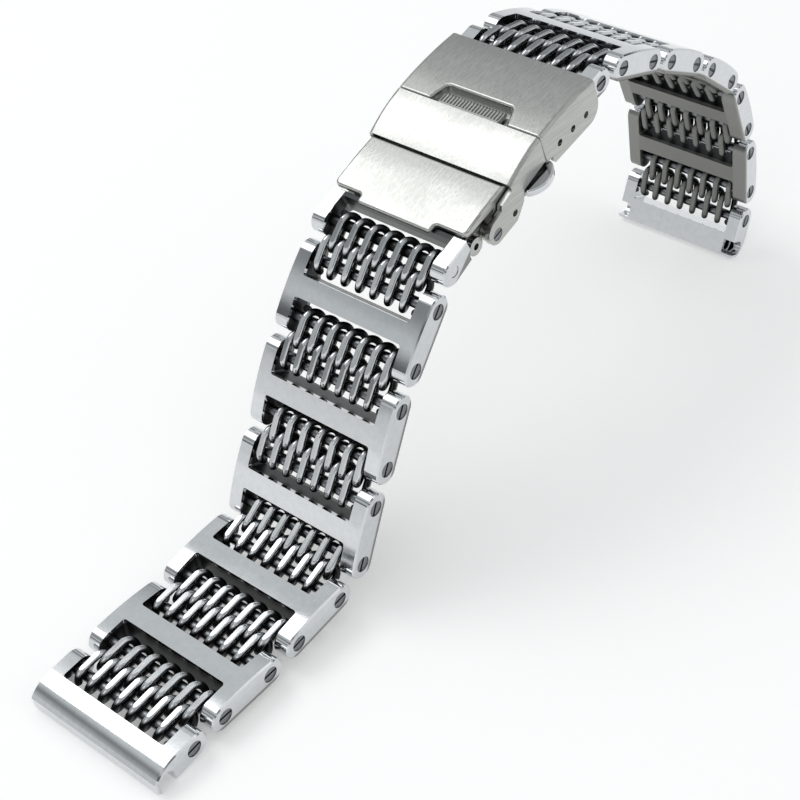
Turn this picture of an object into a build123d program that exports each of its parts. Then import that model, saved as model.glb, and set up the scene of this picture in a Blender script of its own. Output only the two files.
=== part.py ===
from build123d import *
import math
import os

# Steel link bracelet: rows of interlocked wire between H-shaped frames, with a fold-over clasp.
# X runs across the bracelet, Y along it, Z up; the standing arch rests on z = 0.
# Lengths are millimetres and angles degrees.

# The band: its width, and the places of its screws along a frame and across a mesh window.
BAND_W = 22.0
ARM_W = 2.2
SCREW_PITCH = 7.9
WINDOW_PITCH = 5.4
LINK_GAP = 1.0
CROWN = 0.22
FRAME_CHAMFER = 0.2
POCKET_R = 0.4

# The mesh: its wire, the space between strands, and how loosely two rows hook together.
WIRE_D = 1.0
WIRE_FLAT = 0.1
STRAND_GAP = 0.2
HOOK_PLAY = 0.4
MESH_SIDE_GAP = 0.4
ROW_GAP = 0.52

# Screws, plain pins and spring bars.
ROD_R = 0.77
HEAD_LIP = 0.3
HEAD_T = 0.9
HEAD_SUNK = 0.15
SLOT_W = 0.34
SLOT_DEPTH = 0.35
BLIND_WALL = 0.6
PIN_SHORT = 0.1
BAR_R = 0.75
BAR_TIP_R = 0.45
BAR_TIP_SHORT = 0.3
PIN_R = 0.5

# Clearances, and the overrun of a cut past the face that it starts from.
ROD_GAP = 0.08
PRESS_GAP = 0.03
HINGE_GAP = 0.05
SIDE_GAP = 0.15
SEAT_GAP = 0.2
OVERRUN = 1.0
NEAR = 0.01

# Half links, between the first mesh window and a spring bar of the clasp.
HALF_BAR_W = 0.7
HALF_ROW_GAP = 1.1
HALF_TOP = 1.5
HALF_REBATE = 0.2
KNUCKLE_OUT = 1.0
KNUCKLE_R = 1.5
KNUCKLE_TOP = 0.8
BAR_DROP = 1.4

# End links, which meet the watch.
END_LEN = 6.4
END_FACE_TOP = 0.9
END_LIP = 0.45
END_BORE_R = 0.9
END_BORE_IN = 1.7
END_BORE_DROP = 0.35
NOTCH_DEPTH = 2.0
NOTCH_LIP = 0.25
END_TOP_SHARES = (0.62, 0.32)

# The clasp, in its own frame: Y from its front edge, Z from that edge's top.
CLASP_OUT = 0.6
COVER_END = 28.3
RIDGE = 16.0
RIDGE_TOP = 2.2
END_TOP = 1.3
TOP_SHARES = (0.51, 0.11)
COVER_T = 0.9
WALL_T = 0.75
SIDE_LOW = 2.6
SIDE_DEEP = 4.0
SIDE_REAR = 4.7
SIDE_STEP = 1.5
REAR_ROUND = 2.4
TOP_R = 0.6
EDGE_R = 0.35
PANEL_STEP = 0.1
PANEL_R = 0.8
PANEL_EDGE_R = 0.36
TONGUE_R = 0.5
INNER_WALL_T = 1.0
TONGUE_HALF = 6.0
TONGUE_OUT = 1.3
TONGUE_DROP = 0.12
TONGUE_T = 0.43
PANEL_TOP = 0.5
PANEL_T = 1.3
PANEL_SHARES = (0.565, 0.84)
FLOOR_T = 0.6
HOLE_STEP = 3.0
HOLE_RISE = 0.3
FRONT_BAR_IN = 1.25
FRONT_BAR_DROP = 3.5
REAR_BAR_IN = 2.9
REAR_BAR_DROP = 2.5

# The flip lock: a band over the cover, two arms and a ribbed tab for a fingernail.
LOCK_FRONT = 8.85
LOCK_FRONT_TOP = 0.55
BAND_GAP = 0.5
LOCK_FOOT_RUN = 0.95
LOCK_FOOT_FALL = 1.15
BAND_T = 1.35
BAND_TOP_SHARES = (0.47, 0.67)
BAND_LOW_SHARES = (0.45, 0.59)
BAND_FRONT_SHARES = (0.58, 0.46)
LOCK_R = 0.6
PIVOT_IN = 4.5
PIVOT_DROP = 4.1
PIVOT_HEAD_R = 0.85
PIVOT_HEAD_T = 0.35
PIVOT_SLOT = 0.25
ARM_HOLE_IN = 3.9
LUG_R = 1.4
LOCK_ARM_SHARES = (
    (1.01, 0.587),
    (0.46, 0.524),
    (0.39, 0.397),
    (0.0, 0.349),
    (-0.39, 0.056),
    (0.0, -0.238),
    (0.92, -0.238),
    (1.38, 0.032),
    (1.49, 0.270),
)
LOCK_HEEL_SHARE = 0.333
TAB_HALF = 4.8
TAB_OUT = 2.2
TAB_T = 0.9
TAB_SUNK = 0.1
TAB_SLOPE = 0.4
RECESS_SIDE = 0.5
RECESS_FLARE = 1.0
RECESS_BACK = 1.0
RECESS_R = 0.8
RIB_PITCH = 0.505
RIB_DEPTH = 0.25

# The two folding blades and their hinges.
PLATE_T = 0.8
BLADE_KNUCKLE_R = 0.8
HINGE_IN = 7.4
HINGE_DROP = 2.1
BLADE_HINGE_IN = 21.0
BLADE_HINGE_DROP = 2.2
LOWER_DROP = 3.9
LOWER_START = 3.3
BLADE_STEP = 0.3
BLADE_TONGUE = 4.0
BLADE_TONGUE_CUT = 1.5
LOWER_KNUCKLE_W = 4.0
WINDOW_HALF = 4.5
WINDOW_FRONT = 3.0
WINDOW_REAR = 3.5
WINDOW_R = 1.0
EAR_T = 1.2
EAR_R = 1.5
EAR_BACK = 6.0
EAR_GAP = 0.1
BOSS_R = 1.3
BOSS_IN = 0.1

# The push buttons, flat plates that poke out under the cover's sides.
BUTTON_Y = 14.0
BUTTON_W = 5.8
BUTTON_T = 1.2
BUTTON_TOP = 2.75
BUTTON_OUT = 1.7
BUTTON_EDGE = 0.2
BUTTON_R = 0.3
BUTTON_CORNER_R = 0.6
FLANGE_LIP = 0.3
FLANGE_W = 0.85
BUTTON_TRAVEL = 0.9
STRIP_T = 0.6
POST_W = 0.6

# The tilt of each piece from level, before the arch settles on its two ends.
# Front half, from the clasp down: the half link, then row, row and link for each window.
CLASP_TILT = 18.0
FRONT_HALF_TILT = 26.0
FRONT_TILTS = (
    (46.0, 53.0, 52.0),
    (54.0, 58.0, 64.0),
    (62.0, 59.0, 66.0),
    (34.0, 22.0, 7.0),
    (9.0, 8.0, 1.0),
    (5.0, 7.0, 7.0),
)
# Rear half, from the clasp over and down.
REAR_HALF_TILT = 13.0
REAR_TILTS = (
    (3.0, -7.0, -18.0),
    (-23.0, -26.0, -27.0),
    (-31.0, -35.0, -38.0),
    (-48.0, -57.0, -65.5),
    (-71.0, -76.0, -82.0),
    (-94.0, -103.0, -112.6),
)

# Sizes that follow from those above: the band and its mesh.
HALF_W = BAND_W / 2
INNER_W = HALF_W - ARM_W
HALF_PITCH = SCREW_PITCH / 2
ARM_END = (WINDOW_PITCH - LINK_GAP) / 2
COIL_PITCH = 2 * (WIRE_D + STRAND_GAP)
COIL_HALF_T = ROD_R + ROD_GAP + WIRE_D / 2
COIL_TURNS = int((2 * INNER_W - WIRE_D - 2 * MESH_SIDE_GAP) / COIL_PITCH + 0.5)
HOOK_LAP = WIRE_D + 2 * HOOK_PLAY
BEND_R = math.hypot(COIL_PITCH / 2, 2 * COIL_HALF_T) / 2
ROW_L = (HOOK_LAP + WINDOW_PITCH) / 2 - BEND_R
BAR_INNER = BEND_R + WIRE_D / 2 + ROW_GAP
HALF_T = COIL_HALF_T + WIRE_D / 2
BORE_R = ROD_R + PRESS_GAP
HEAD_R = ROD_R + HEAD_LIP
HEAD_X = HALF_W - HEAD_SUNK - HEAD_T
HALF_INNER = BEND_R + WIRE_D / 2 + HALF_ROW_GAP
HALF_REAR = HALF_INNER + HALF_BAR_W
BAR_RUN = HALF_REAR + KNUCKLE_OUT
END_BORE = (END_BORE_IN - END_LEN, -END_BORE_DROP)

# Sizes that follow: the clasp.
CLASP_HALF = HALF_W + CLASP_OUT
BOX_INNER = CLASP_HALF - WALL_T
BOX_START = RIDGE + SIDE_GAP
PANEL_HALF = BOX_INNER - PANEL_STEP
WALL_IN = PANEL_HALF - INNER_WALL_T
EAR_OUT = WALL_IN - EAR_GAP
EAR_IN = EAR_OUT - EAR_T
BLADE_HALF = EAR_OUT - BLADE_STEP
ARM_IN = PANEL_HALF + SIDE_GAP
FRONT_BAR = (FRONT_BAR_IN, -FRONT_BAR_DROP)
REAR_BAR = (COVER_END - REAR_BAR_IN, -REAR_BAR_DROP)
COVER_HINGE = (HINGE_IN, -HINGE_DROP)
BLADE_HINGE = (BLADE_HINGE_IN, -BLADE_HINGE_DROP)
LOCK_PIVOT = (PIVOT_IN, -PIVOT_DROP)
LOCK_FOOT = (LOCK_FRONT + LOCK_FOOT_RUN, LOCK_FRONT_TOP - LOCK_FOOT_FALL)
BAND_LOW = RIDGE_TOP - BAND_T
BUTTON_LOW = BUTTON_TOP + BUTTON_T
HOUSING_LOW = BUTTON_LOW + SIDE_GAP + STRIP_T
SLOT_HALF = BUTTON_W / 2 + SIDE_GAP
FLANGE_HALF = BUTTON_W / 2 + FLANGE_LIP
RECESS_END = RIDGE + TAB_OUT + RECESS_BACK
SHELF_END = RECESS_END + SIDE_GAP
FLANGE_OUT = WALL_IN - SIDE_GAP
FLANGE_IN = FLANGE_OUT - FLANGE_W
BLADE_WAIST = FLANGE_IN - BUTTON_TRAVEL - BLADE_STEP


def block(x0, x1, y0, y1, z0, z1):
    size = (x1 - x0, y1 - y0, z1 - z0)
    mid = ((x0 + x1) / 2, (y0 + y1) / 2, (z0 + z1) / 2)
    return Pos(*mid) * Box(*size)


def rod(x0, x1, y, z, radius):
    turn = Rot(0, 90, 0) * Cylinder(radius, x1 - x0)
    return Pos((x0 + x1) / 2, y, z) * turn


def both_sides(x0, x1):
    # the same stretch of X on the left and on the right
    return ((-x1, -x0), (x0, x1))


def slab(profile, x0, x1):
    # a side view in the Y-Z plane, given thickness across the bracelet
    face = Plane.YZ * make_face(profile)
    return Pos(x0, 0, 0) * extrude(face, x1 - x0)


def outline(*points):
    return Polyline(*points, close=True)


def chain(*points):
    # straight lines from point to point
    return [Line(a, b) for a, b in zip(points, points[1:])]


def between(start, end, shares):
    # a point at its own share of the way from start to end in Y and in Z
    y = start[0] + shares[0] * (end[0] - start[0])
    z = start[1] + shares[1] * (end[1] - start[1])
    return y, z


def side_edges(shape, x_at):
    flat = shape.edges().filter_by(lambda e: e.bounding_box().size.X < NEAR)
    return flat.filter_by(lambda e: abs(abs(e.center().X) - x_at) < NEAR)


def coil_path():
    # round the rod at y = 0 and into the next row at y = ROW_L, turn after turn
    top = COIL_HALF_T
    step = COIL_PITCH / 2
    slant = top * math.sqrt(0.5)
    first = -(COIL_TURNS - 0.5) * step
    edges = [ThreePointArc((first, -top, 0), (first, -slant, slant), (first, 0, top))]
    for turn in range(COIL_TURNS):
        x = first + turn * COIL_PITCH
        edges.append(Line((x, 0, top), (x, ROW_L, top)))
        edges.append(ThreePointArc((x, ROW_L, top), (x + step / 2, ROW_L + BEND_R, 0), (x + step, ROW_L, -top)))
        edges.append(Line((x + step, ROW_L, -top), (x + step, 0, -top)))
        if turn < COIL_TURNS - 1:
            edges.append(ThreePointArc((x + step, 0, -top), (x + 1.5 * step, -BEND_R, 0), (x + COIL_PITCH, 0, top)))
    edges.append(ThreePointArc((-first, 0, -top), (-first, -slant, -slant), (-first, -top, 0)))
    return Wire(edges)


def coil():
    # one unbroken wire, its outer strands ground flat
    path = coil_path()
    wire = sweep(Plane(origin=path @ 0, z_dir=path % 0) * Circle(WIRE_D / 2), path=path)
    ground = HALF_T - WIRE_FLAT
    reach = BEND_R + WIRE_D
    return wire & block(-HALF_W, HALF_W, -reach, ROW_L + reach, -ground, ground)


def coil_gap():
    # least gap of the wire to itself, measured on points along its middle line
    path = coil_path()
    count = 500
    apart = int(count * math.pi * BEND_R / path.length)
    spots = [path @ (i / count) for i in range(count + 1)]
    pairs = [(a, b) for a in range(count) for b in range(a + apart, count + 1)]
    return min((spots[a] - spots[b]).length for a, b in pairs) - WIRE_D


def frame_profile(y):
    # flat underside, and a crowned top that runs smoothly into the round ends
    reach = (y * y + CROWN * CROWN) / (2 * CROWN)
    share = (reach + HALF_T) / reach
    end_y, end_z = y * share, (reach - CROWN) * (share - 1)
    slant = math.asin(y / reach) / 2 + math.pi / 4
    out_y, out_z = y + HALF_T * math.sin(slant), HALF_T * math.cos(slant)
    base = Line((-y, -HALF_T), (y, -HALF_T))
    tail = ThreePointArc((y, -HALF_T), (out_y, out_z), (end_y, end_z))
    back = ThreePointArc((end_y, end_z), (0, HALF_T + CROWN), (-end_y, end_z))
    nose = ThreePointArc((-end_y, end_z), (-out_y, out_z), (-y, -HALF_T))
    return Wire([base, tail, back, nose])


def pocket(y0, y1):
    # the window for the mesh, open at y1 and round in its two inner corners
    window = block(-INNER_W, INNER_W, y0, y1, -2 * HALF_T, 2 * HALF_T)
    near = window.edges().filter_by(Axis.Z).group_by(Axis.Y)[0 if y1 > y0 else -1]
    return fillet(near, POCKET_R)


def screw_seat(shape, y):
    # counterbored on the right, blind on the left
    shape -= rod(INNER_W - OVERRUN, HEAD_X, y, 0, BORE_R)
    shape -= rod(HEAD_X, HALF_W + OVERRUN, y, 0, HEAD_R + PRESS_GAP)
    return shape - rod(BLIND_WALL - HALF_W, OVERRUN - INNER_W, y, 0, BORE_R)


def screw(y):
    under = HEAD_X + PRESS_GAP
    top = HALF_W - HEAD_SUNK
    shank = rod(BLIND_WALL + PIN_SHORT - HALF_W, under + PIN_SHORT, y, 0, ROD_R)
    slot = block(top - SLOT_DEPTH, HALF_W, y - HEAD_R, y + HEAD_R, -SLOT_W / 2, SLOT_W / 2)
    return shank + rod(under, top, y, 0, HEAD_R) - slot


def h_link():
    y = HALF_PITCH + ARM_END - HALF_T
    body = slab(frame_profile(y), -HALF_W, HALF_W)
    body = chamfer(side_edges(body, HALF_W), FRAME_CHAMFER)
    window = pocket(HALF_PITCH - BAR_INNER, HALF_PITCH + ARM_END + OVERRUN)
    body -= window
    body -= mirror(window, about=Plane.XZ)
    return screw_seat(screw_seat(body, HALF_PITCH), -HALF_PITCH)


def end_link():
    # screw at y = 0, mesh on the +Y side, the watch on the -Y side
    low, top = -HALF_T, HALF_T
    front = -END_LEN
    round_y = ARM_END - HALF_T
    rise = (-BAR_INNER, top + CROWN / 2)
    face = (front + END_LIP, END_FACE_TOP)
    lines = [
        Line((front + END_LIP, low), (round_y, low)),
        ThreePointArc((round_y, low), (ARM_END, 0), (round_y, top)),
        Line((round_y, top), rise),
        ThreePointArc(rise, between(rise, face, END_TOP_SHARES), face),
        Line(face, (front, END_FACE_TOP - END_LIP)),
        Line((front, END_FACE_TOP - END_LIP), (front, low + END_LIP)),
        Line((front, low + END_LIP), (front + END_LIP, low)),
    ]
    body = slab(Wire(lines), -HALF_W, HALF_W)
    body = chamfer(side_edges(body, HALF_W), FRAME_CHAMFER)
    body -= pocket(-BAR_INNER, ARM_END + OVERRUN)
    body = screw_seat(body, 0)
    body -= rod(-HALF_W - OVERRUN, HALF_W + OVERRUN, *END_BORE, END_BORE_R)
    y, z = END_BORE
    notch_r = END_BORE_R + NOTCH_LIP
    for x0, x1 in both_sides(HALF_W - NOTCH_DEPTH, HALF_W + OVERRUN):
        body -= rod(x0, x1, y, z, notch_r)
        body -= block(x0, x1, y - notch_r, y + notch_r, low - OVERRUN, z)
    return body


def half_link(knuckle_half):
    # screw at y = 0, mesh on the -Y side, spring bar knuckle on the +Y side, lowered under the clasp
    low = -HALF_T
    nose = HALF_T - ARM_END
    bar_y, bar_z = BAR_RUN, -BAR_DROP
    arms = [
        Line((nose, low), (HALF_REAR, low)),
        Line((HALF_REAR, low), (HALF_REAR, HALF_TOP)),
        Line((HALF_REAR, HALF_TOP), (nose, HALF_T)),
        ThreePointArc((nose, HALF_T), (nose - HALF_T, 0), (nose, low)),
    ]
    body = slab(Wire(arms), -HALF_W, HALF_W)
    body = chamfer(side_edges(body, HALF_W), FRAME_CHAMFER)
    body -= mirror(pocket(-HALF_INNER, ARM_END + OVERRUN), about=Plane.XZ)
    root = HALF_INNER + PIN_SHORT
    knuckle = [
        Line((root, low + PIN_SHORT), (bar_y, bar_z - KNUCKLE_R)),
        ThreePointArc((bar_y, bar_z - KNUCKLE_R), (bar_y + KNUCKLE_R, bar_z), (bar_y, bar_z + KNUCKLE_R)),
        Line((bar_y, bar_z + KNUCKLE_R), (root, KNUCKLE_TOP)),
        Line((root, KNUCKLE_TOP), (root, low + PIN_SHORT)),
    ]
    body += slab(Wire(knuckle), -knuckle_half, knuckle_half)
    return body - rod(-HALF_W, HALF_W, bar_y, bar_z, BAR_R + HINGE_GAP)


def front_half_link():
    # room round the lower blade's ears, and a plain pin pressed in flush with both sides
    body = half_link(EAR_IN - SEAT_GAP)
    for x0, x1 in both_sides(EAR_IN - SEAT_GAP, HALF_W + OVERRUN):
        body -= rod(x0, x1, BAR_RUN, -BAR_DROP, EAR_R + SEAT_GAP)
    body -= rod(-HALF_W - OVERRUN, HALF_W + OVERRUN, 0, 0, BORE_R)
    return body, rod(PIN_SHORT - HALF_W, HALF_W - PIN_SHORT, 0, 0, ROD_R)


def rear_half_link():
    # narrower and lower where it runs in under the cover
    narrow = BOX_INNER - 2 * SIDE_GAP
    body = screw_seat(half_link(narrow), 0)
    inside = REAR_BAR[0] + BAR_RUN - COVER_END - SIDE_GAP
    for x0, x1 in both_sides(narrow, HALF_W + OVERRUN):
        body -= block(x0, x1, inside, BAR_RUN + KNUCKLE_R + OVERRUN, -2 * HALF_T, 2 * HALF_T)
    low = HALF_TOP - HALF_REBATE
    body -= block(-HALF_W, HALF_W, inside, BAR_RUN, low, HALF_TOP + OVERRUN)
    return mirror(body, about=Plane.XZ)


def spring_bar(body_half, tip_half):
    bar = rod(-body_half, body_half, 0, 0, BAR_R)
    return bar + rod(-tip_half, tip_half, 0, 0, BAR_TIP_R)


def tab_recess(low):
    # room for the lock's ribbed tab: a trapezoid seen from above, open to the front
    far = TAB_HALF + RECESS_SIDE
    near = far + RECESS_FLARE
    plan = outline((-near, RIDGE), (near, RIDGE), (far, RECESS_END), (-far, RECESS_END))
    body = Pos(0, 0, low) * extrude(make_face(plan), RIDGE_TOP + OVERRUN - low)
    return fillet(body.edges().filter_by(Axis.Z).group_by(Axis.Y)[-1], RECESS_R)


def cover_box():
    # rear box, open below and behind
    corner = (COVER_END, REAR_ROUND - SIDE_REAR)
    foot = (COVER_END - REAR_ROUND, -SIDE_REAR)
    turn = 1 - math.sqrt(0.5)
    ridge, end = (BOX_START, RIDGE_TOP), (COVER_END, END_TOP)
    middle = between(ridge, end, TOP_SHARES)
    step = RIDGE + SIDE_STEP
    side = [
        ThreePointArc(ridge, middle, end),
        Line(end, corner),
        ThreePointArc(corner, (COVER_END - turn * REAR_ROUND, turn * REAR_ROUND - SIDE_REAR), foot),
        Line(foot, (step + HOLE_RISE, -SIDE_DEEP)),
        Line((step + HOLE_RISE, -SIDE_DEEP), (step, -SIDE_LOW)),
        Line((step, -SIDE_LOW), (BOX_START, -SIDE_LOW)),
        Line((BOX_START, -SIDE_LOW), ridge),
    ]
    body = slab(Wire(side), -CLASP_HALF, CLASP_HALF)
    sides = body.edges().filter_by(lambda e: abs(abs(e.center().X) - CLASP_HALF) < NEAR)
    body = fillet(sides.filter_by(lambda e: e.center().Z > END_TOP), TOP_R)
    body -= tab_recess(RIDGE_TOP - COVER_T - SIDE_GAP)
    rim = body.edges().filter_by(lambda e: e.center().Z > END_TOP)
    body = fillet(rim.filter_by(lambda e: e.center().Y < RECESS_END + NEAR), EDGE_R)
    low = -SIDE_REAR - OVERRUN
    hollow = [
        Line((BOX_START - OVERRUN, low), (COVER_END + OVERRUN, low)),
        Line((COVER_END + OVERRUN, low), (COVER_END + OVERRUN, END_TOP - COVER_T)),
        Line((COVER_END + OVERRUN, END_TOP - COVER_T), (COVER_END, END_TOP - COVER_T)),
        ThreePointArc((COVER_END, END_TOP - COVER_T), (middle[0], middle[1] - COVER_T), (BOX_START, RIDGE_TOP - COVER_T)),
        Line((BOX_START, RIDGE_TOP - COVER_T), (BOX_START - OVERRUN, RIDGE_TOP - COVER_T)),
        Line((BOX_START - OVERRUN, RIDGE_TOP - COVER_T), (BOX_START - OVERRUN, low)),
    ]
    return body - slab(Wire(hollow), -BOX_INNER, BOX_INNER)


def rounded_panel(body):
    # soft corners seen from above, then a soft rim round the whole top
    upright = body.edges().filter_by(Axis.Z).filter_by(lambda e: e.center().Y < NEAR)
    body = fillet(upright.filter_by(lambda e: abs(e.center().X) < PANEL_HALF - NEAR), TONGUE_R)
    upright = body.edges().filter_by(Axis.Z).filter_by(lambda e: e.center().Y < NEAR)
    body = fillet(upright.filter_by(lambda e: abs(e.center().X) > PANEL_HALF - NEAR), PANEL_R)
    low = -TONGUE_DROP - TONGUE_T / 2
    rim = body.edges().filter_by(lambda e: e.center().Z > low and abs(e.bounding_box().size.Z) < PANEL_T / 2)
    return fillet(rim, PANEL_EDGE_R)


def cover_panel():
    # front panel with its tongue, and the floor under the lock's band
    tip = (-TONGUE_OUT, -TONGUE_DROP)
    rear_top = (LOCK_FRONT - BAND_GAP, PANEL_TOP)
    foot = (LOCK_FOOT[0] - SEAT_GAP, LOCK_FOOT[1] - SEAT_GAP)
    under = (foot[0] - FLOOR_T, foot[1] - FLOOR_T)
    bend = between(rear_top, foot, BAND_FRONT_SHARES)
    side = [
        ThreePointArc(tip, between(tip, rear_top, PANEL_SHARES), rear_top),
        ThreePointArc(rear_top, bend, foot),
        Line(foot, under),
        Line(under, (EAR_BACK, PANEL_TOP - PANEL_T - PIN_SHORT)),
        Line((EAR_BACK, PANEL_TOP - PANEL_T - PIN_SHORT), (-TONGUE_OUT, -TONGUE_DROP - TONGUE_T)),
        Line((-TONGUE_OUT, -TONGUE_DROP - TONGUE_T), tip),
    ]
    body = slab(Wire(side), -PANEL_HALF, PANEL_HALF)
    for x0, x1 in both_sides(TONGUE_HALF, PANEL_HALF + OVERRUN):
        body -= block(x0, x1, -TONGUE_OUT - OVERRUN, 0, -PANEL_T, PANEL_T)
    body = rounded_panel(body)
    floor_top = BAND_LOW - SEAT_GAP
    ceiling = RIDGE_TOP - COVER_T + PIN_SHORT
    floor = [
        foot,
        (BOX_START, floor_top),
        (BOX_START, ceiling),
        (SHELF_END, ceiling),
        (SHELF_END, floor_top - FLOOR_T + PIN_SHORT),
        (RIDGE + FLOOR_T, floor_top - FLOOR_T),
        under,
    ]
    return body + slab(outline(*floor), -PANEL_HALF, PANEL_HALF)


def cover_wall():
    # inner side wall: a lug for the lock's pivot, the blade hinge's seat and the button's housing
    y, z = LOCK_PIVOT
    front, rear = BUTTON_Y - SLOT_HALF - POST_W, BUTTON_Y + SLOT_HALF + POST_W
    hinge_low = COVER_HINGE[1] - LUG_R * math.sqrt(0.5)
    floor_top = BAND_LOW - SEAT_GAP - SIDE_GAP
    ceiling = RIDGE_TOP - COVER_T + SIDE_GAP
    side = [
        ThreePointArc((y, z + LUG_R), (y - LUG_R, z), (y, z - LUG_R)),
        Line((y, z - LUG_R), (y + LUG_R, z - LUG_R)),
        Line((y + LUG_R, z - LUG_R), (front, hinge_low)),
        Line((front, hinge_low), (front, -HOUSING_LOW)),
        Line((front, -HOUSING_LOW), (rear, -HOUSING_LOW)),
        Line((rear, -HOUSING_LOW), (rear, ceiling)),
        Line((rear, ceiling), (BOX_START, ceiling)),
        Line((BOX_START, ceiling), (BOX_START, floor_top)),
        Line((BOX_START, floor_top), (LOCK_FRONT, LOCK_FOOT[1] - SEAT_GAP - SIDE_GAP)),
        Line((LOCK_FRONT, LOCK_FOOT[1] - SEAT_GAP - SIDE_GAP), (EAR_BACK, PANEL_TOP - PANEL_T + PIN_SHORT)),
        Line((EAR_BACK, PANEL_TOP - PANEL_T + PIN_SHORT), (y, z + LUG_R)),
    ]
    wall = slab(Wire(side), WALL_IN, PANEL_HALF)
    slot = block(
        WALL_IN - OVERRUN, PANEL_HALF + OVERRUN,
        BUTTON_Y - SLOT_HALF, BUTTON_Y + SLOT_HALF,
        -BUTTON_LOW - SIDE_GAP, SIDE_GAP - BUTTON_TOP,
    )
    return wall - slot


def cover():
    body = cover_box() + cover_panel()
    wall = cover_wall()
    body = body + wall + mirror(wall, about=Plane.YZ)
    # webs that tie the inner walls to the box's sides
    for x0, x1 in both_sides(WALL_IN, CLASP_HALF - WALL_T / 2):
        body += block(x0, x1, BOX_START, BOX_START + OVERRUN, -SIDE_LOW, RIDGE_TOP - COVER_T + PIN_SHORT)
    # recess for the lock's ribbed tab
    body -= tab_recess(RIDGE_TOP - TAB_T - 2 * SIDE_GAP)
    # seats of the hinge pin and the lock's studs, and three places for the spring bar
    body -= rod(-HALF_W, HALF_W, *COVER_HINGE, PIN_R + PRESS_GAP)
    body -= rod(-HALF_W, HALF_W, *LOCK_PIVOT, PIN_R + PRESS_GAP)
    for place in range(3):
        y, z = REAR_BAR[0] - place * HOLE_STEP, REAR_BAR[1] + place * HOLE_RISE
        body -= rod(-CLASP_HALF - OVERRUN, CLASP_HALF + OVERRUN, y, z, BAR_TIP_R + HINGE_GAP)
    return body


def cover_pins():
    # the blade hinge's pin and two slotted studs that the lock turns on
    y, z = LOCK_PIVOT
    pins = [rod(PIN_SHORT - PANEL_HALF, PANEL_HALF - PIN_SHORT, *COVER_HINGE, PIN_R)]
    top = CLASP_HALF - HINGE_GAP
    stud = rod(WALL_IN + PIN_SHORT, top, y, z, PIN_R) + rod(top - PIVOT_HEAD_T, top, y, z, PIVOT_HEAD_R)
    stud -= block(top - PIVOT_SLOT, top + OVERRUN, y - CLASP_HALF, y + CLASP_HALF, z - PIVOT_SLOT / 2, z + PIVOT_SLOT / 2)
    return pins + [stud, mirror(stud, about=Plane.YZ)]


def flip_lock():
    # a band over the cover with an arm down each side to its pivot
    y, z = LOCK_PIVOT
    front, ridge, low = (LOCK_FRONT, LOCK_FRONT_TOP), (RIDGE, RIDGE_TOP), (RIDGE, BAND_LOW)
    top = ThreePointArc(front, between(front, ridge, BAND_TOP_SHARES), ridge)
    band_side = [
        top,
        Line(ridge, low),
        ThreePointArc(low, between(LOCK_FOOT, low, BAND_LOW_SHARES), LOCK_FOOT),
        ThreePointArc(LOCK_FOOT, between(front, LOCK_FOOT, BAND_FRONT_SHARES), front),
    ]
    reach, rise = LOCK_FRONT - y, RIDGE_TOP - z
    arm = [(y + a * reach, z + b * rise) for a, b in LOCK_ARM_SHARES]
    heel = (RIDGE, z + LOCK_HEEL_SHARE * rise)
    arm_side = Wire([*chain(front, *arm[:4]), ThreePointArc(*arm[3:6]), *chain(*arm[5:], heel, ridge), top])
    body = slab(arm_side, -CLASP_HALF, CLASP_HALF)
    rim = body.edges().filter_by(lambda e: abs(abs(e.center().X) - CLASP_HALF) < NEAR)
    body = fillet(rim.filter_by(lambda e: e.center().Z > LOCK_FRONT_TOP), LOCK_R)
    body -= slab(arm_side, -ARM_IN, ARM_IN)
    body += slab(Wire(band_side), -ARM_IN - PIN_SHORT, ARM_IN + PIN_SHORT)
    tab_end = RIDGE + TAB_OUT
    tab_top = RIDGE_TOP - TAB_SUNK
    tab_low = RIDGE_TOP - TAB_T
    tab = [(RIDGE - TAB_SLOPE, tab_top), (tab_end - TAB_SLOPE, tab_top - TAB_SUNK), (tab_end, tab_top - TAB_SLOPE)]
    body += slab(outline(*tab, (tab_end, tab_low), (RIDGE - TAB_SLOPE, tab_low)), -TAB_HALF, TAB_HALF)
    # fine ribs along the tab
    count = int(2 * TAB_HALF / RIB_PITCH)
    for rib in range(count):
        x = (rib - (count - 1) / 2) * RIB_PITCH
        left, right = x - RIB_PITCH / 4, x + RIB_PITCH / 4
        body -= block(left, right, RIDGE + TAB_SLOPE, tab_end + OVERRUN, tab_top - TAB_SUNK - RIB_DEPTH, RIDGE_TOP + OVERRUN)
    body -= rod(-CLASP_HALF - OVERRUN, CLASP_HALF + OVERRUN, y, z, PIN_R + HINGE_GAP)
    for x0, x1 in both_sides(CLASP_HALF - HINGE_GAP - PIVOT_HEAD_T - HINGE_GAP, CLASP_HALF + OVERRUN):
        body -= rod(x0, x1, y, z, PIVOT_HEAD_R + HINGE_GAP)
    return body - rod(-CLASP_HALF - OVERRUN, CLASP_HALF + OVERRUN, y + ARM_HOLE_IN, z, PIN_R)


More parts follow.
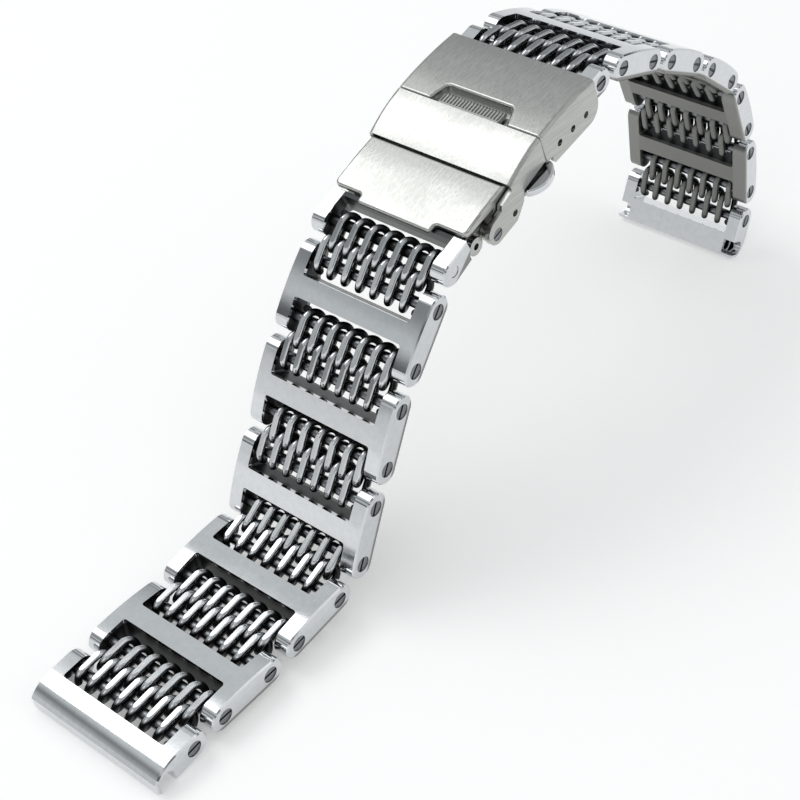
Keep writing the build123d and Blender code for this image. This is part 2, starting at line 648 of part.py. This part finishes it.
def button(side):
    # a flat plate with a bowed outer edge, and a wider flange inside the wall that keeps it in
    half = BUTTON_W / 2
    edge_x = CLASP_HALF + BUTTON_EDGE
    root_x = FLANGE_OUT - PIN_SHORT
    rim = [
        Line((root_x, -half), (edge_x, -half)),
        ThreePointArc((edge_x, -half), (CLASP_HALF + BUTTON_OUT, 0), (edge_x, half)),
        Line((edge_x, half), (root_x, half)),
        Line((root_x, half), (root_x, -half)),
    ]
    plate = extrude(Plane.XY * make_face(Wire(rim)), BUTTON_T)
    plate = fillet(plate.edges().filter_by(Axis.Z).group_by(Axis.X)[-1], BUTTON_CORNER_R)
    outer = plate.edges().filter_by(lambda e: e.center().X > root_x + NEAR)
    plate = fillet(outer.filter_by(lambda e: e.bounding_box().size.Z < NEAR), BUTTON_R)
    flange = block(FLANGE_IN, FLANGE_OUT, -FLANGE_HALF, FLANGE_HALF, 0, BUTTON_T)
    body = Pos(0, BUTTON_Y, -BUTTON_LOW) * (plate + flange)
    return body if side > 0 else mirror(body, about=Plane.YZ)


def waist(body, z0, z1):
    # both blades draw in where the buttons' flanges move
    reach = FLANGE_HALF + 2 * SEAT_GAP
    for x0, x1 in both_sides(BLADE_WAIST, BLADE_HALF + OVERRUN):
        cut = block(x0, x1, BUTTON_Y - reach, BUTTON_Y + reach, z0 - OVERRUN, z1 + OVERRUN)
        body -= cut
    return body


def middle_blade():
    y1, z1 = COVER_HINGE
    y2, z2 = BLADE_HINGE
    rise = PLATE_T / 2
    low, top = min(z1, z2) - rise, max(z1, z2) + rise
    plate = slab(outline((y1, z1 - rise), (y2, z2 - rise), (y2, z2 + rise), (y1, z1 + rise)), -BLADE_HALF, BLADE_HALF)
    for x0, x1 in both_sides(BLADE_TONGUE, BLADE_HALF + OVERRUN):
        plate -= block(x0, x1, y2 - BLADE_TONGUE_CUT, y2 + OVERRUN, low - OVERRUN, top + OVERRUN)
    window = block(-WINDOW_HALF, WINDOW_HALF, y1 + WINDOW_FRONT, y2 - WINDOW_REAR, low - OVERRUN, top + OVERRUN)
    plate -= fillet(window.edges().filter_by(Axis.Z), WINDOW_R)
    body = waist(plate, low, top)
    body += rod(-BLADE_HALF, BLADE_HALF, y1, z1, BLADE_KNUCKLE_R)
    body += rod(-BLADE_TONGUE, BLADE_TONGUE, y2, z2, BLADE_KNUCKLE_R)
    body -= rod(-HALF_W, HALF_W, y1, z1, PIN_R + HINGE_GAP)
    return body - rod(-HALF_W, HALF_W, y2, z2, PIN_R + HINGE_GAP)


def lower_blade():
    y2, z2 = BLADE_HINGE
    bar_y, bar_z = FRONT_BAR
    low, top = -LOWER_DROP, PLATE_T - LOWER_DROP
    body = waist(block(-BLADE_HALF, BLADE_HALF, LOWER_START, y2, low, top), low, top)
    inner = BLADE_TONGUE + SEAT_GAP
    for x0, x1 in both_sides(inner, inner + LOWER_KNUCKLE_W):
        body += rod(x0, x1, y2, z2, BLADE_KNUCKLE_R)
        body += block(x0, x1, y2 - BLADE_KNUCKLE_R, y2 + BLADE_KNUCKLE_R, low, z2)
    ear_side = [
        Line((bar_y, bar_z - EAR_R), (EAR_BACK, low)),
        Line((EAR_BACK, low), (EAR_BACK, top)),
        Line((EAR_BACK, top), (bar_y, bar_z + EAR_R)),
        ThreePointArc((bar_y, bar_z + EAR_R), (bar_y - EAR_R, bar_z), (bar_y, bar_z - EAR_R)),
    ]
    for x0, x1 in both_sides(EAR_IN, EAR_OUT):
        body += slab(Wire(ear_side), x0, x1)
    for x0, x1 in both_sides(EAR_OUT - EAR_GAP, PANEL_HALF - BOSS_IN):
        body += rod(x0, x1, bar_y, bar_z, BOSS_R)
    body -= rod(-HALF_W, HALF_W, *FRONT_BAR, BAR_TIP_R + PRESS_GAP)
    return body - rod(-HALF_W, HALF_W, y2, z2, PIN_R + PRESS_GAP)


def lower_blade_pins():
    # the strap's spring bar and the pin between the two blades
    pin_half = BLADE_TONGUE + SEAT_GAP + LOWER_KNUCKLE_W - PIN_SHORT
    bar = Pos(0, *FRONT_BAR) * spring_bar(EAR_IN - PIN_SHORT, EAR_OUT - PIN_SHORT)
    return [bar, rod(-pin_half, pin_half, *BLADE_HINGE, PIN_R)]


def rear_spring_bar():
    return Pos(0, *REAR_BAR) * spring_bar(BOX_INNER - 2 * PIN_SHORT, CLASP_HALF - BAR_TIP_SHORT)


def turned(y, z, tilt):
    c, s = math.cos(math.radians(tilt)), math.sin(math.radians(tilt))
    return y * c - z * s, y * s + z * c


def at(shape, spot, tilt):
    return Pos(0, spot[0], spot[1]) * Rot(tilt, 0, 0) * shape


def along(spot, length, tilt, rise=0.0):
    y, z = turned(length, rise, tilt)
    return spot[0] + y, spot[1] + z


def layout(side, start, lean):
    # places and hinges of one half of the band, from the clasp to the end link
    way = -1 if side == "front" else 1
    bar_at, half_tilt, tilts = (
        (FRONT_BAR, FRONT_HALF_TILT, FRONT_TILTS) if side == "front" else (REAR_BAR, REAR_HALF_TILT, REAR_TILTS)
    )
    bar = along(start, bar_at[0], CLASP_TILT - lean, bar_at[1])
    spot = along(bar, way * BAR_RUN, half_tilt - lean, BAR_DROP)
    places = [(f"{side}_half_link", spot, half_tilt - lean)]
    hinges = [(f"{side}_strap_hinge", bar)]
    for number, (row_a, row_b, link) in enumerate(tilts, 1):
        hook = along(spot, way * WINDOW_PITCH / 2, row_a - lean)
        lower = along(hook, way * WINDOW_PITCH / 2, row_b - lean)
        places.append((f"{side}_row_{number}a", spot, row_a - lean))
        places.append((f"{side}_row_{number}b", lower, row_b - lean))
        hinges += [(f"{side}_rod_{number}a", spot), (f"{side}_hook_{number}", hook), (f"{side}_rod_{number}b", lower)]
        if number < len(tilts):
            centre = along(lower, way * HALF_PITCH, link - lean)
            places.append((f"{side}_link_{number}", centre, link - lean))
            spot = along(centre, way * HALF_PITCH, link - lean)
        else:
            places.append((f"{side}_end_link", lower, link - lean))
    return places, hinges


def watch_end_corner(side):
    # the lowest corner of an end link's watch end, before the arch leans
    way = -1 if side == "front" else 1
    name, spot, tilt = layout(side, (0, 0), 0)[0][-1]
    corners = []
    for rise in (END_LIP - HALF_T, END_FACE_TOP - END_LIP):
        corners.append(along(spot, way * END_LEN, tilt, rise))
    for rise in (-HALF_T, END_FACE_TOP):
        corners.append(along(spot, way * (END_LEN - END_LIP), tilt, rise))
    return min(corners, key=lambda corner: corner[1])


def stand(link, watch_end, watch_end_back):
    # the arch leans until both ends rest on the floor, and its middle lies over y = 0
    front, rear = watch_end_corner("front"), watch_end_corner("rear")
    lean = math.degrees(math.atan2(rear[1] - front[1], rear[0] - front[0]))
    boxes = []
    for side, last in (("front", watch_end), ("rear", watch_end_back)):
        for name, spot, tilt in layout(side, (0, 0), lean)[0]:
            if name.endswith("end_link") or "_link_" in name:
                boxes.append(at(last if name.endswith("end_link") else link, spot, tilt).bounding_box())
    nearest, farthest = min(b.min.Y for b in boxes), max(b.max.Y for b in boxes)
    return (-(nearest + farthest) / 2, -min(b.min.Z for b in boxes)), lean


def save(name, solids):
    solids = solids if isinstance(solids, list) else [solids]
    flat = []
    for item in solids:
        flat += list(item.solids())
    shape = flat[0] if len(flat) == 1 else Compound(children=flat)
    export_step(shape, f"parts/{name}.step")


def save_band(side, start, lean, wire, link, watch_end, half):
    # a row beside the rod with the larger Y is the same wire turned round
    link_screws = [screw(HALF_PITCH), screw(-HALF_PITCH)]
    one_screw = screw(0)
    for name, spot, tilt in layout(side, start, lean)[0]:
        if "_row_" in name:
            turn = 180 if name.endswith("a") == (side == "front") else 0
            save(name, at(Rot(0, 0, turn) * wire, spot, tilt))
        elif "_link_" in name:
            save(name, at(link, spot, tilt))
            save(name.replace("link", "screws"), [at(s, spot, tilt) for s in link_screws])
        elif name.endswith("end_link"):
            save(name, at(watch_end, spot, tilt))
            save(name.replace("link", "screw"), at(one_screw, spot, tilt))
        else:
            save(name, [at(s, spot, tilt) for s in half])
            if side == "rear":
                save("rear_half_screw", at(one_screw, spot, tilt))


def main():
    os.makedirs("parts", exist_ok=True)
    print("least gap of a mesh wire to itself:", round(coil_gap(), 2))
    wire = coil()
    link = h_link()
    watch_end = end_link()
    watch_end_back = mirror(watch_end, about=Plane.XZ)
    start, lean = stand(link, watch_end, watch_end_back)
    clasp_tilt = CLASP_TILT - lean
    save_band("front", start, lean, wire, link, watch_end, list(front_half_link()))
    save_band("rear", start, lean, wire, link, watch_end_back, [rear_half_link()])

    clasp = {
        "clasp_cover": [cover()],
        "cover_pins": cover_pins(),
        "rear_spring_bar": [rear_spring_bar()],
        "flip_lock": [flip_lock()],
        "right_button": [button(1)],
        "left_button": [button(-1)],
        "middle_blade": [middle_blade()],
        "lower_blade": [lower_blade()],
        "lower_blade_pins": lower_blade_pins(),
    }
    for name, group in clasp.items():
        save(name, [at(s, start, clasp_tilt) for s in group])

    for side in ("front", "rear"):
        for name, (y, z) in layout(side, start, lean)[1]:
            print(name, round(y, 4), round(z, 4))
        name, spot, tilt = layout(side, start, lean)[0][-1]
        bore = along(spot, END_BORE[0] if side == "front" else -END_BORE[0], tilt, END_BORE[1])
        print(f"{side}_end_bore", round(bore[0], 4), round(bore[1], 4), "tilt", round(tilt, 3))
    for name, spot in (("cover_hinge", COVER_HINGE), ("blade_hinge", BLADE_HINGE), ("lock_pivot", LOCK_PIVOT)):
        y, z = along(start, spot[0], clasp_tilt, spot[1])
        print(name, round(y, 4), round(z, 4))
    print("clasp start", round(start[0], 4), round(start[1], 4), "tilt", round(clasp_tilt, 4), "lean", round(lean, 4))


main()
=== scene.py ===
import math

import bpy
import numpy as np
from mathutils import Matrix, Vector

MM = 0.001

# A point well under the arch, from which every outer face looks away, as Y and Z.
INSIDE = np.array((0.0, -20 * MM))
# The links' painted shade: how far from their middle the walls inside a window are painted dark as shade, on
# a duller milled finish, and from where the polish is full; and how far from the middle of the band a window
# reaches, and over what width that ends.
LINK_SHADED_TO_MM = 1.2
LINK_POLISHED_FROM_MM = 1.433
WINDOW_HALF_MM = 8.85
WALL_BLEND_MM = 0.15
# The wires' painted shade: how far below a row's outer flats the wire is painted dark as shade between the
# strands, on a duller drawn finish, and above what it is polished.
WIRE_SHADED_BELOW_MM = 0.6
WIRE_POLISHED_ABOVE_MM = 0.2
# Steel painted near-black as shade on the milled window walls and the drawn inner wire, and painted dark grey
# as shade on the satin side that lies on the wrist, under the arch; with how much rougher each finish is.
MILLED_PAINTED_SHADE = "#3C3D3E"
MILLED_ROUGHER = 0.25
# The satin inner side's tone, painted dark grey as shade under the arch.
SATIN_PAINTED_SHADE = "#8A8A87"
SATIN_ROUGHER = 0.2
# The noise of all the finishes: its detail, and how the slow patches spread a finish's roughness.
SCRATCH_DETAIL = 3.0
SCRATCH_ROUGHNESS = 0.6
PATCH_DETAIL = 2.0
PATCH_RANGE = (0.3, 0.7)
ROUGHNESS_SPREAD = (0.8, 1.25)

# The studio: white paper, lifted a little where the eye or the steel sees it, and the walls' tone by height.
PAPER = "#F4F4F3"
PAPER_ROUGHNESS = 0.9
PAPER_LIFT = 0.3
PAPER_SIZE = 6.0
SKY = (
    (0.0, "#EFF1F1"), (0.17, "#DCDFE0"), (0.26, "#4A4D4F"), (0.38, "#D8DCDD"),
    (0.56, "#8C9092"), (0.72, "#DADEDF"), (1.0, "#C4C8C9"),
)
# Each lamp's place, size and power in watts, and what they all aim at.
MIDDLE = (0.0, 0.0, 0.03)
LAMPS = {
    "left_softbox": ((-0.36, -0.10, 0.62), (0.44, 0.34), 1.05),
    "front_softbox": ((0.05, -0.70, 0.42), (0.5, 0.3), 0.4),
    "right_fill": ((0.60, 0.25, 0.45), (0.3, 0.3), 0.2),
}
# The camera, at the photograph's angle: its place, turn in degrees, lens, sensor and shift.
CAMERA_PLACE = (0.116624, -0.139349, 0.162535)
CAMERA_TURN = (53.5396, 2.4669, 38.4892)
CAMERA_LENS = 75.398
CAMERA_SENSOR = 36.0
CAMERA_SHIFT = (-0.03663, -0.14474)
CAMERA_NEAR = 0.005


def linear(hex_colour):
    """An sRGB hex colour as the linear RGBA that a shader socket takes."""
    parts = [int(hex_colour[i : i + 2], 16) / 255 for i in (1, 3, 5)]
    return (*(c / 12.92 if c <= 0.04045 else ((c + 0.055) / 1.055) ** 2.4 for c in parts), 1.0)


def add_node(tree, kind, links=(), sockets=(), **settings):
    """One node with its settings, the values of its own sockets, and the links that feed it."""
    made = tree.nodes.new(kind)
    for name, value in settings.items():
        setattr(made, name, value)
    for name, value in dict(sockets).items():
        made.inputs[name].default_value = value
    for name, source in dict(links).items():
        tree.links.new(source, made.inputs[name])
    return made


def fresh_material(name):
    """A new material with its tree and its one surface shader."""
    material = bpy.data.materials.new(name)
    material.use_nodes = True
    tree = material.node_tree
    tree.nodes.clear()
    output = tree.nodes.new("ShaderNodeOutputMaterial")
    surface = tree.nodes.new("ShaderNodeBsdfPrincipled")
    tree.links.new(surface.outputs["BSDF"], output.inputs["Surface"])
    return material, tree, surface


def middle_plane(piece):
    """The middle of a link or mesh row, the direction out of the band there, and half its thickness.
    It is thinnest that way, so that is the direction in which its points spread least."""
    points = np.empty(len(piece.data.vertices) * 3)
    piece.data.vertices.foreach_get("co", points)
    profile = points.reshape(-1, 3)[:, 1:]
    mean = profile.mean(axis=0)
    outward = np.linalg.eigh(np.cov((profile - mean).T))[1][:, 0]
    if outward @ (mean - INSIDE) < 0:
        outward = -outward
    heights = (profile - mean) @ outward
    centre = mean + outward * (heights.max() + heights.min()) / 2
    return (0.0, *centre), (0.0, *outward), (heights.max() - heights.min()) / 2


def polish_and_shade_zones(tree, place, centre, outward, shaded_to, finished_from, beside=None):
    """Two masks by the distance from a piece's middle: its polished outer flats, with what lies beside its
    window if that is given, outside which the steel is painted dark as shade; and its satin inner side, which
    is painted dark grey as shade. Each starts at one distance, full at the other."""
    apart = add_node(
        tree, "ShaderNodeVectorMath", {0: place.outputs["Object"]}, {1: centre}, operation="SUBTRACT",
    )
    height = add_node(
        tree, "ShaderNodeVectorMath", {0: apart.outputs["Vector"]}, {1: outward}, operation="DOT_PRODUCT",
    )
    outer, inner = (
        add_node(
            tree, "ShaderNodeMapRange", {"Value": height.outputs["Value"]},
            {"From Min": side * shaded_to, "From Max": side * finished_from},
        ).outputs["Result"]
        for side in (1, -1)
    )
    if beside is None:
        return outer, inner
    across = add_node(tree, "ShaderNodeSeparateXYZ", {"Vector": place.outputs["Object"]})
    across = add_node(tree, "ShaderNodeMath", {0: across.outputs["X"]}, operation="ABSOLUTE")
    outside = add_node(
        tree, "ShaderNodeMapRange", {"Value": across.outputs[0]},
        {"From Min": beside, "From Max": beside + MM * WALL_BLEND_MM},
    )
    outer = add_node(tree, "ShaderNodeMath", {0: outer, 1: outside.outputs["Result"]}, operation="MAXIMUM")
    return outer.outputs[0], inner


def steel(name, colour, light_colour, roughness, grain_mm, patch_mm, bump_mm, bump, zone=None):
    """Stainless steel: fine grain lines of the given period along X, Y and Z, and slow patches of a slightly
    rougher finish. With a zone it is painted near-black as shade inside, on a duller milled or drawn finish,
    and painted dark grey as shade on the satin inner side."""
    material, tree, surface = fresh_material(name)
    place = add_node(tree, "ShaderNodeTexCoord")
    lines = add_node(
        tree, "ShaderNodeMapping", {"Vector": place.outputs["Object"]},
        {"Scale": [1 / (MM * period) for period in grain_mm]},
    )
    scratches = add_node(
        tree, "ShaderNodeTexNoise", {"Vector": lines.outputs["Vector"]},
        {"Scale": 1.0, "Detail": SCRATCH_DETAIL, "Roughness": SCRATCH_ROUGHNESS},
    )
    patches = add_node(
        tree, "ShaderNodeTexNoise", {"Vector": place.outputs["Object"]},
        {"Scale": 1 / (MM * patch_mm), "Detail": PATCH_DETAIL},
    )
    tone = blend_tones(tree, scratches.outputs["Fac"], linear(colour), linear(light_colour))
    if zone:
        outer, inner = polish_and_shade_zones(tree, place, *zone)
        # Painted shade: near-black on the walls inside the windows and on the wire between the strands.
        tone = blend_tones(tree, outer, linear(MILLED_PAINTED_SHADE), tone)
        # Painted shade: dark grey on the satin inner side, under the arch.
        tone = blend_tones(tree, inner, tone, linear(SATIN_PAINTED_SHADE))
    tree.links.new(tone, surface.inputs["Base Color"])
    smoothest, roughest = (roughness * share for share in ROUGHNESS_SPREAD)
    spread = add_node(
        tree, "ShaderNodeMapRange", {"Value": patches.outputs["Fac"]},
        {"From Min": PATCH_RANGE[0], "From Max": PATCH_RANGE[1], "To Min": smoothest, "To Max": roughest},
    )
    if zone:
        unpolished = add_node(tree, "ShaderNodeMath", {1: outer}, {0: 1.0}, operation="SUBTRACT")
        for mask, rougher in ((inner, SATIN_ROUGHER), (unpolished.outputs[0], MILLED_ROUGHER)):
            spread = add_node(
                tree, "ShaderNodeMath", {0: mask, 2: spread.outputs[0]}, {1: rougher},
                operation="MULTIPLY_ADD",
            )
    tree.links.new(spread.outputs[0], surface.inputs["Roughness"])
    height = add_node(
        tree, "ShaderNodeBump", {"Height": scratches.outputs["Fac"]},
        {"Strength": bump, "Distance": MM * bump_mm},
    )
    tree.links.new(height.outputs["Normal"], surface.inputs["Normal"])
    surface.inputs["Metallic"].default_value = 1.0
    return material


def blend_tones(tree, factor, first, second):
    """The first tone where the factor is nothing, the second where it is one; a colour or an output each."""
    made = add_node(tree, "ShaderNodeMix", {0: factor}, data_type="RGBA")
    for socket, tone in ((made.inputs[6], first), (made.inputs[7], second)):
        if isinstance(tone, tuple):
            socket.default_value = tone
        else:
            tree.links.new(tone, socket)
    return made.outputs[2]


def seen_rays(tree, strength):
    """The strength for rays from the camera and for those that steel mirrors, and nothing for the rest."""
    rays = add_node(tree, "ShaderNodeLightPath")
    seen = rays.outputs["Is Camera Ray"]
    for kind in ("Is Glossy Ray", "Is Transmission Ray"):
        either = add_node(tree, "ShaderNodeMath", {0: seen, 1: rays.outputs[kind]}, operation="MAXIMUM")
        seen = either.outputs[0]
    return add_node(tree, "ShaderNodeMath", {0: seen}, {1: strength}, operation="MULTIPLY").outputs[0]


def assign(names, material):
    """The material in the slots of the solids of these names."""
    for name in names:
        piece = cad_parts[name]
        piece.data.materials.clear()
        piece.data.materials.append(material)


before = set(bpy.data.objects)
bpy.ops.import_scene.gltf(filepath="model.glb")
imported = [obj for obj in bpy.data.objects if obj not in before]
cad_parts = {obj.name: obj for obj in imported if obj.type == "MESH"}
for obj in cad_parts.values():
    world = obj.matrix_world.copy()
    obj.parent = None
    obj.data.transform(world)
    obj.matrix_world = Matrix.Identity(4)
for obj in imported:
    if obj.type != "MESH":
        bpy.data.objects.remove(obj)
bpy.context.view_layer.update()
bpy.ops.object.select_all(action="DESELECT")
bpy.context.scene.view_settings.view_transform = "Standard"

# Mirror-polished stainless steel, buffed: clear reflections with a faint haze.
POLISHED = dict(
    colour="#C9CBCE", light_colour="#DDDEE0", roughness=0.10,
    grain_mm=(0.9, 0.9, 0.9), patch_mm=6.0, bump_mm=0.004, bump=0.25,
)
# Stainless steel brushed along the bracelet: fine lines in a soft glare. They are drawn several times as wide
# as real ones, which would be too fine to show.
BRUSHED = dict(
    colour="#9A9A97", light_colour="#CCCCC9", roughness=0.27,
    grain_mm=(0.26, 9.0, 0.26), patch_mm=9.0, bump_mm=0.010, bump=0.5,
)
# Drawn stainless wire, ground flat and polished on its outer strands: bright flats on duller wire, which is
# painted darker as shade between the strands.
WIRE = dict(
    colour="#BDBFC1", light_colour="#DCDDDE", roughness=0.14,
    grain_mm=(0.5, 1.5, 0.5), patch_mm=4.0, bump_mm=0.005, bump=0.3,
)
# Turned steel of the screws, pins and spring bars: darker, with a dull shine.
TURNED = dict(
    colour="#6E7072", light_colour="#8A8C8F", roughness=0.28,
    grain_mm=(0.3, 0.3, 0.3), patch_mm=3.0, bump_mm=0.005, bump=0.3,
)

brushed = steel("brushed_stainless_steel", **BRUSHED)
turned = steel("turned_steel", **TURNED)
names = sorted(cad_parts)
rows = {name: middle_plane(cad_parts[name]) for name in names if "_row_" in name}
# Each mesh row is painted dark as shade between its strands, below the outer flats, and dark grey as shade on
# its inner side.
for name, (centre, outward, half) in rows.items():
    zone = (centre, outward, half - MM * WIRE_SHADED_BELOW_MM, half - MM * WIRE_POLISHED_ABOVE_MM)
    assign([name], steel("wire_with_painted_shade_" + name, **WIRE, zone=zone))
# The links are polished outside and, inside their windows, left as milled and dull and painted dark as shade.
polished = steel("polished_stainless_steel", **POLISHED)
for side in ("front", "rear"):
    planes = {f"{side}_half_link": rows[f"{side}_row_1a"]}
    for name in names:
        if name.startswith(f"{side}_link_"):
            planes[name] = middle_plane(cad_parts[name])
    for name, (centre, outward, _) in planes.items():
        zone = (
            centre, outward, MM * LINK_SHADED_TO_MM, MM * LINK_POLISHED_FROM_MM, MM * WINDOW_HALF_MM,
        )
        assign([name], steel("link_with_painted_shade_" + name, **POLISHED, zone=zone))
assign(["front_end_link", "rear_end_link", "left_button", "right_button"], polished)
assign([name for name in names if "screw" in name or "pins" in name or "spring_bar" in name], turned)
assign(["clasp_cover", "flip_lock", "middle_blade", "lower_blade"], brushed)

# The floor: matt white backdrop paper, the same to the eye and in the steel.
bpy.ops.mesh.primitive_plane_add(size=PAPER_SIZE, location=(0.0, 0.0, 0.0))
floor = bpy.context.object
floor.name = "studio_floor"
paper, tree, surface = fresh_material("white_backdrop_paper")
surface.inputs["Roughness"].default_value = PAPER_ROUGHNESS
surface.inputs["Base Color"].default_value = linear(PAPER)
surface.inputs["Emission Color"].default_value = linear("#FFFFFF")
tree.links.new(seen_rays(tree, PAPER_LIFT), surface.inputs["Emission Strength"])
floor.data.materials.append(paper)

# The world: pale walls low down, as the eye sees them, with darker bands above for the steel to mirror.
world = bpy.data.worlds.new("studio")
bpy.context.scene.world = world
world.use_nodes = True
tree = world.node_tree
tree.nodes.clear()
place = add_node(tree, "ShaderNodeTexCoord")
split = add_node(tree, "ShaderNodeSeparateXYZ", {"Vector": place.outputs["Generated"]})
sky = add_node(tree, "ShaderNodeValToRGB", {"Fac": split.outputs["Z"]})
ramp = sky.color_ramp
ramp.interpolation = "EASE"
ramp.elements[0].position, ramp.elements[0].color = SKY[0][0], linear(SKY[0][1])
ramp.elements[1].position, ramp.elements[1].color = SKY[-1][0], linear(SKY[-1][1])
for height, colour in SKY[1:-1]:
    ramp.elements.new(height).color = linear(colour)
soft = add_node(tree, "ShaderNodeBackground", {"Color": sky.outputs["Color"]}, {"Strength": 1.0})
add_node(tree, "ShaderNodeOutputWorld", {"Surface": soft.outputs[0]})


def softbox(name, spot, size, power):
    """A rectangular lamp at its spot, turned to the middle of the bracelet."""
    light = bpy.data.lights.new(name, "AREA")
    light.shape = "RECTANGLE"
    light.size, light.size_y = size
    light.energy = power
    holder = bpy.data.objects.new(name, light)
    bpy.context.scene.collection.objects.link(holder)
    holder.location = spot
    holder.rotation_euler = (Vector(MIDDLE) - Vector(spot)).to_track_quat("-Z", "Y").to_euler()


for name, lamp in LAMPS.items():
    softbox(name, *lamp)

camera = bpy.data.objects.new("camera", bpy.data.cameras.new("camera"))
bpy.context.scene.collection.objects.link(camera)
bpy.context.scene.camera = camera
camera.location = CAMERA_PLACE
camera.rotation_euler = [math.radians(angle) for angle in CAMERA_TURN]
camera.data.sensor_width = CAMERA_SENSOR
camera.data.lens = CAMERA_LENS
camera.data.shift_x, camera.data.shift_y = CAMERA_SHIFT
camera.data.clip_start = CAMERA_NEAR
